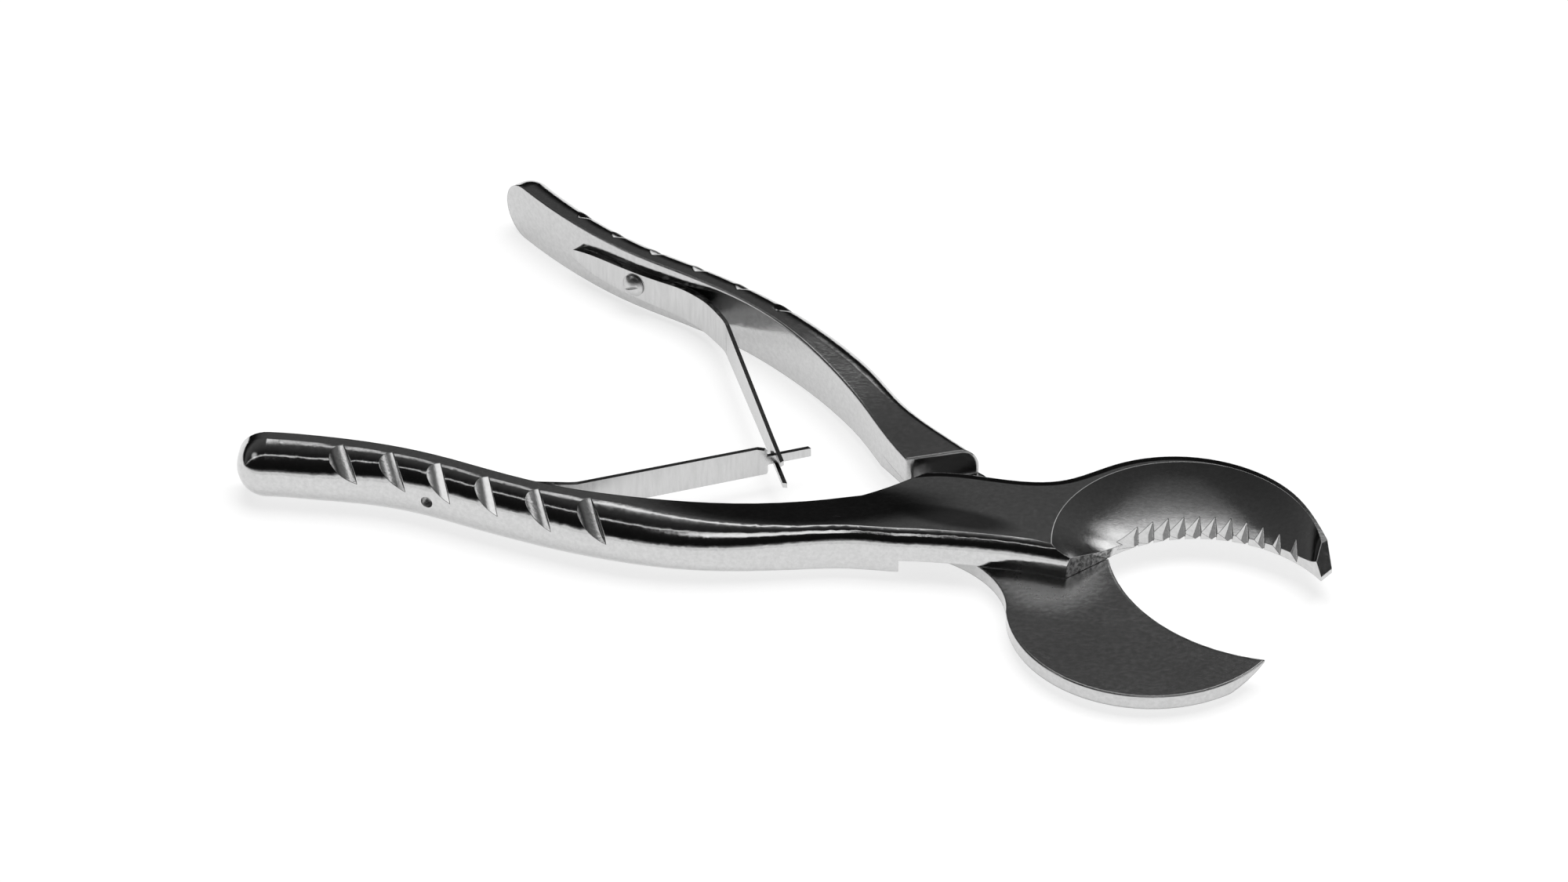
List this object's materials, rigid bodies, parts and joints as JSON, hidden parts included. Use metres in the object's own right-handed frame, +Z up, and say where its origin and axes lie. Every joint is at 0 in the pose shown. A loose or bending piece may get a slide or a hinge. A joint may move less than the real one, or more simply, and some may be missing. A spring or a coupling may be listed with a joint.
{
  "type": "nutcracker",
  "caption": "Spring-opened steel nutcracker with lap-jointed levers, a hollow serrated crescent jaw, a curved cutting blade and crossed leaf springs between the handles.",
  "frame": {"origin": "on the pivot axis, in the plane the tool rests on when it lies on its side", "axes": "+Z up along the pivot axis, +X toward the jaws, handles toward -X, +Y toward the blade lever's handle"},
  "size_m": [0.1721, 0.1321, 0.01],
  "materials": {
    "polished_steel": "mirror polished stainless steel",
    "spring_steel": "fine satin spring steel",
    "screw_steel": "turned and polished steel"
  },
  "bodies": {
    "jaw_lever": {"jaw_lever": "polished_steel", "pivot_screw": "screw_steel", "jaw_spring_screw": "screw_steel"},
    "blade_lever": {"blade_lever": "polished_steel", "blade_spring_screw": "screw_steel"},
    "jaw_spring": {"jaw_spring": "spring_steel"},
    "blade_spring": {"blade_spring": "spring_steel"}
  },
  "joints": [
    {"name": "pivot", "type": "hinge", "parent": "jaw_lever", "child": "blade_lever", "pos_m": [0, 0, 0], "axis": [0, 0, 1], "range_deg": [0, 33], "stiffness_Nm_per_rad": 2.5, "deforming": ["jaw_spring", "blade_spring"]},
    {"name": "jaw_spring_flex", "type": "hinge", "parent": "jaw_lever", "child": "jaw_spring", "pos_m": [-0.05954, 0.00863, 0.005], "axis": [0, 0, 1], "range_deg": [-23, 0], "deforming": ["jaw_spring"]},
    {"name": "blade_spring_flex", "type": "hinge", "parent": "blade_lever", "child": "blade_spring", "pos_m": [-0.03887, 0.04592, 0.005], "axis": [0, 0, 1], "range_deg": [0, 23], "deforming": ["blade_spring"]}
  ],
  "couplings": [
    {"joint": "jaw_spring_flex", "follows": "pivot", "ratio": -0.683},
    {"joint": "blade_spring_flex", "follows": "pivot", "ratio": 0.683}
  ]
}
